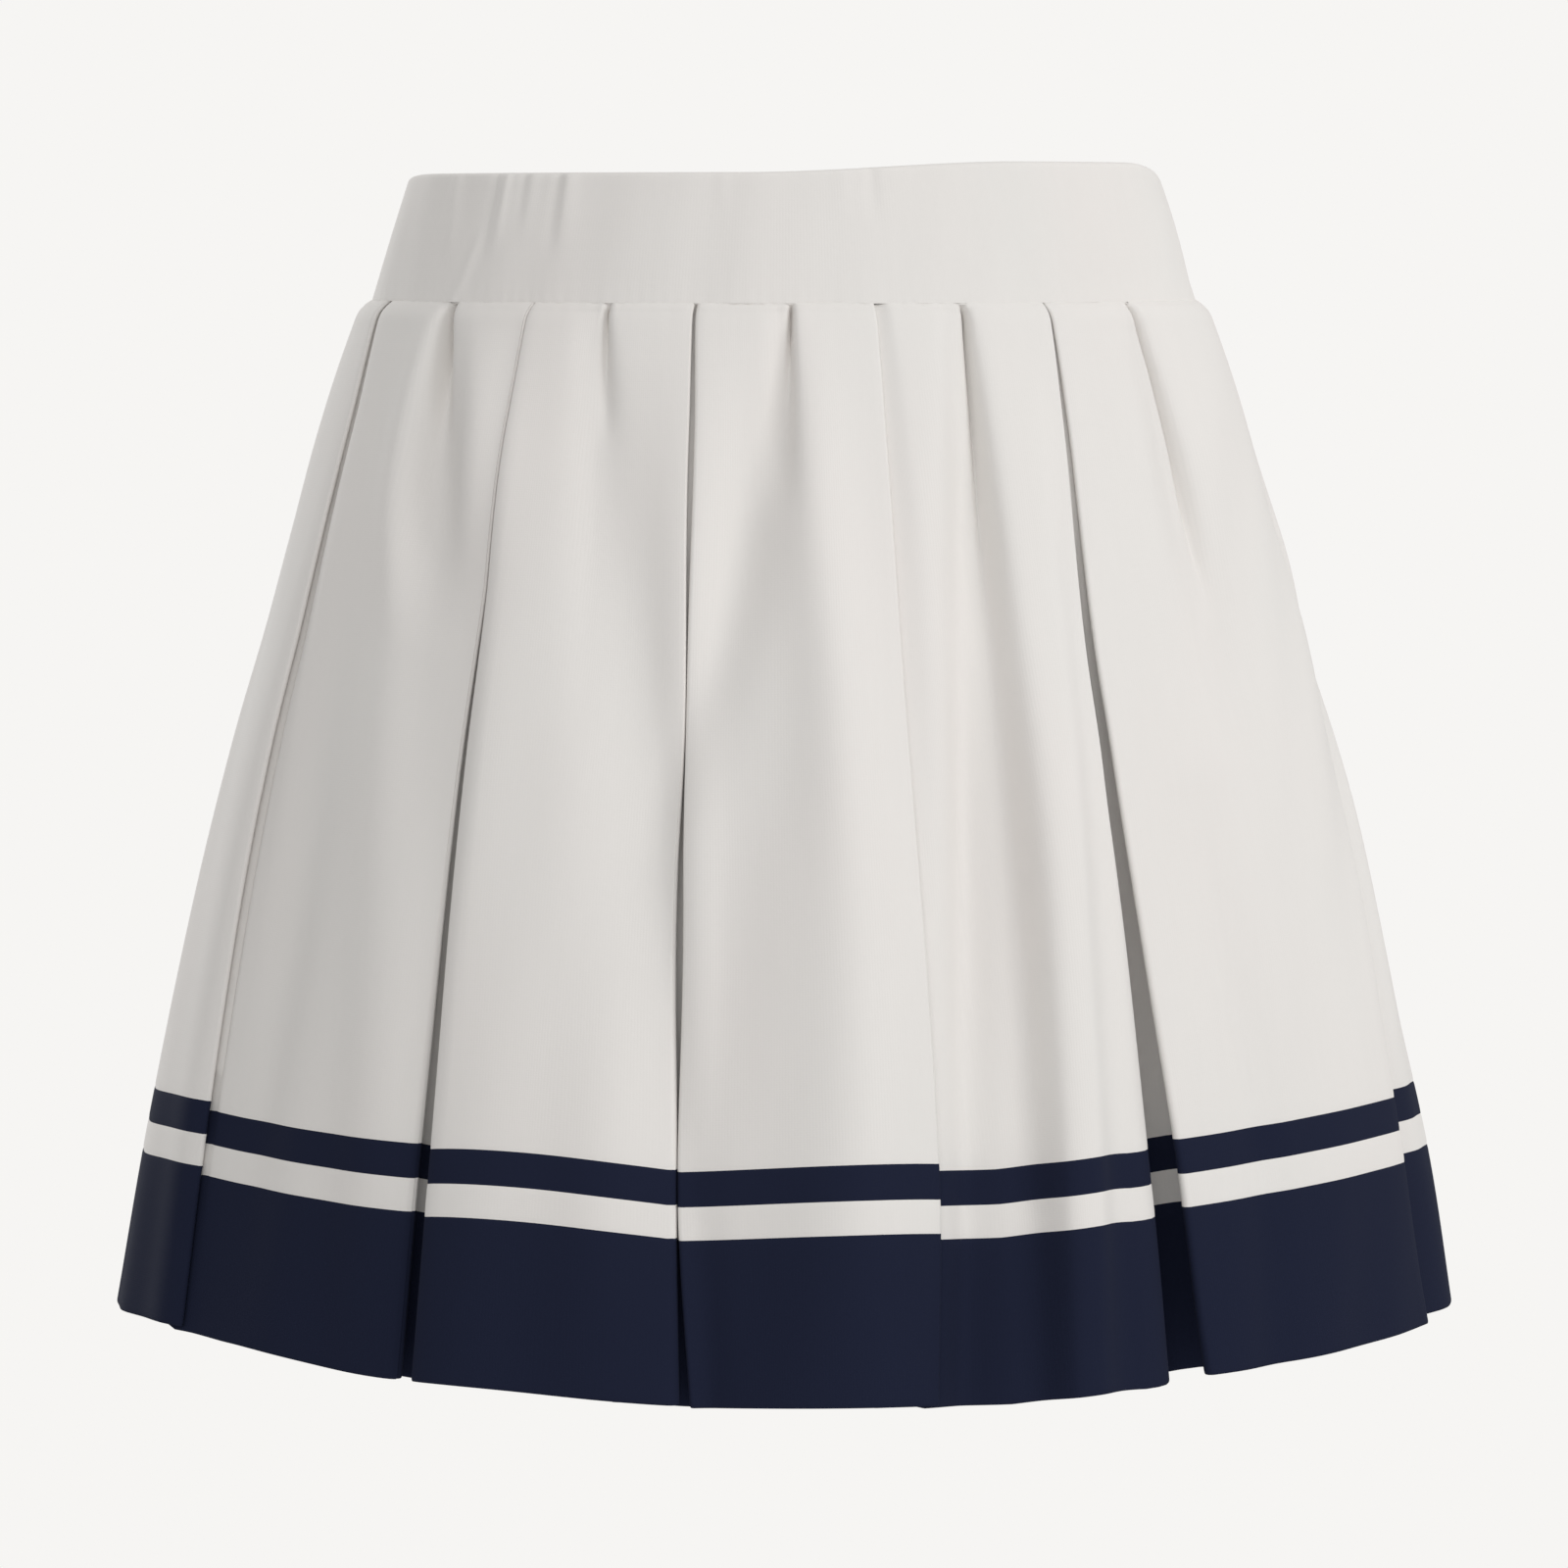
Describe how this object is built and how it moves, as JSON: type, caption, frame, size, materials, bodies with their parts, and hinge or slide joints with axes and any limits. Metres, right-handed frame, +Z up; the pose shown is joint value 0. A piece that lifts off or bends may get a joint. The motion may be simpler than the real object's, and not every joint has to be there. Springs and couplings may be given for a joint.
{
  "type": "tennis skirt",
  "caption": "Short flared tennis skirt with pressed pleats, a plain waistband, and a navy hem band and stripe on cream cloth, filled out as worn.",
  "frame": {"origin": "centre of the wearer's waist, at half the waistband's height", "axes": "+Z up towards the waistband's rim, +X towards the wearer's left side (the right of someone facing the front), the front faces -Y"},
  "size_m": [0.4464, 0.3622, 0.3808],
  "materials": {
    "cream_cloth": "matt smooth double-knit cloth, soft and slightly heavy",
    "navy_cloth": "matt smooth double-knit cloth, soft and slightly heavy"
  },
  "bodies": {
    "root": {"waistband_front": "cream_cloth", "waistband_back": "cream_cloth", "skirt_front": "cream_cloth", "skirt_back": "cream_cloth", "upper_stripe_front": "navy_cloth", "upper_stripe_back": "navy_cloth", "lower_stripe_front": "cream_cloth", "lower_stripe_back": "cream_cloth", "hem_band_front": "navy_cloth", "hem_band_back": "navy_cloth"}
  },
  "joints": []
}
